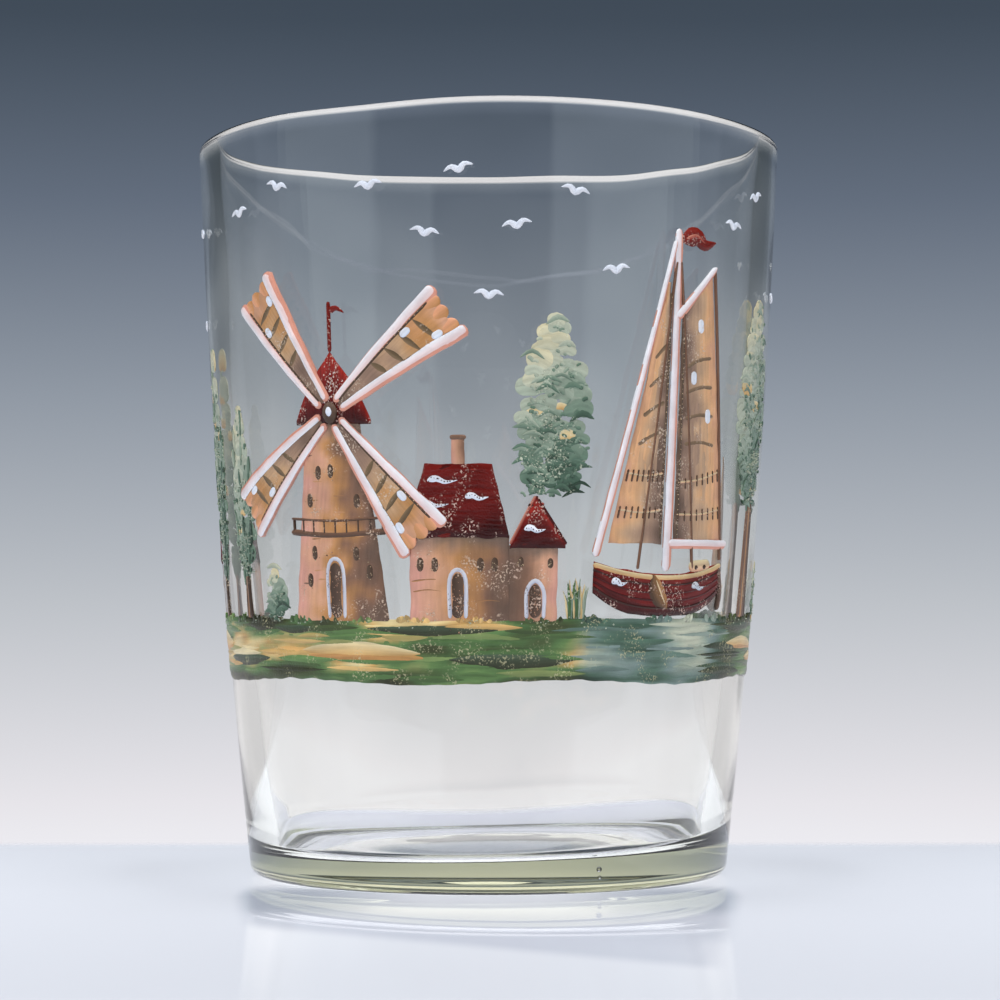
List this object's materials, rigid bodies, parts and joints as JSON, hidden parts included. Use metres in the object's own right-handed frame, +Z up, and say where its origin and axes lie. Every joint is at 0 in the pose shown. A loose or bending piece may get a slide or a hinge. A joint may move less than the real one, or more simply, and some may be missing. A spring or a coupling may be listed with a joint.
{
  "type": "enamelled glass tumbler",
  "caption": "Large flared drinking glass with a thick base and a fire-polished rim, its wall painted with a river landscape in raised enamel.",
  "frame": {"origin": "centre of the ring that the glass stands on, on its axis, in the plane of the table", "axes": "+Z up along the axis of the glass; -Y towards the viewer, at the middle of the painted picture; +X to the viewer's right"},
  "size_m": [0.0908, 0.0908, 0.1148],
  "materials": {
    "clear_glass": "fire-polished clear soda-lime glass with a faint yellow-green cast",
    "enamel_bank": "fired opaque enamel, green and ochre brushed wet in wet",
    "enamel_plaster": "fired opaque enamel, pale pink, satin",
    "enamel_stone": "fired opaque enamel, pink-brown to ochre, speckled",
    "enamel_roof": "fired opaque enamel, dark red, glossy with worn specks",
    "enamel_spar": "fired opaque enamel, pinkish white, thickly laid",
    "enamel_canvas": "fired opaque enamel, brown-grey to ochre with dark bars",
    "enamel_timber": "fired opaque enamel, dark brown",
    "enamel_leaf": "fired opaque enamel, sea-green dabs from pale to dark",
    "enamel_white": "fired opaque enamel, bluish white, thickly laid"
  },
  "bodies": {
    "root": {"glass_body": "clear_glass", "river_bank": "enamel_bank", "hamlet_wall": "enamel_plaster", "hamlet_roof": "enamel_roof", "far_poplar_trunk": "enamel_timber", "far_poplar_crown": "enamel_leaf", "near_poplar_trunk": "enamel_timber", "near_poplar_crown": "enamel_leaf", "mill_bush": "enamel_leaf", "mill_tower": "enamel_stone", "mill_cap": "enamel_roof", "mill_vane": "enamel_roof", "mill_hub": "enamel_spar", "mill_sail_1": "enamel_canvas", "mill_sail_2": "enamel_canvas", "mill_sail_3": "enamel_canvas", "mill_sail_4": "enamel_canvas", "farmhouse_wall": "enamel_stone", "farmhouse_roof": "enamel_roof", "farmhouse_chimney": "enamel_plaster", "barn_wall": "enamel_plaster", "barn_roof": "enamel_roof", "lime_tree_crown": "enamel_leaf", "river_reeds": "enamel_leaf", "barge_hull": "enamel_roof", "barge_mast": "enamel_spar", "barge_mainsail": "enamel_canvas", "barge_foresail": "enamel_canvas", "barge_boom": "enamel_spar", "barge_gaff": "enamel_spar", "barge_forestay": "enamel_spar", "barge_pennant": "enamel_roof", "oak_trunk": "enamel_timber", "oak_crown": "enamel_leaf", "hedge": "enamel_leaf", "skiff_hull": "enamel_timber", "skiff_sail": "enamel_canvas", "bird_1": "enamel_white", "bird_2": "enamel_white", "bird_3": "enamel_white", "bird_4": "enamel_white", "bird_5": "enamel_white", "bird_6": "enamel_white", "bird_7": "enamel_white", "bird_8": "enamel_white", "bird_9": "enamel_white", "bird_10": "enamel_white", "bird_11": "enamel_white", "bird_12": "enamel_white", "bird_13": "enamel_white", "bird_14": "enamel_white", "bird_15": "enamel_white"}
  },
  "joints": []
}
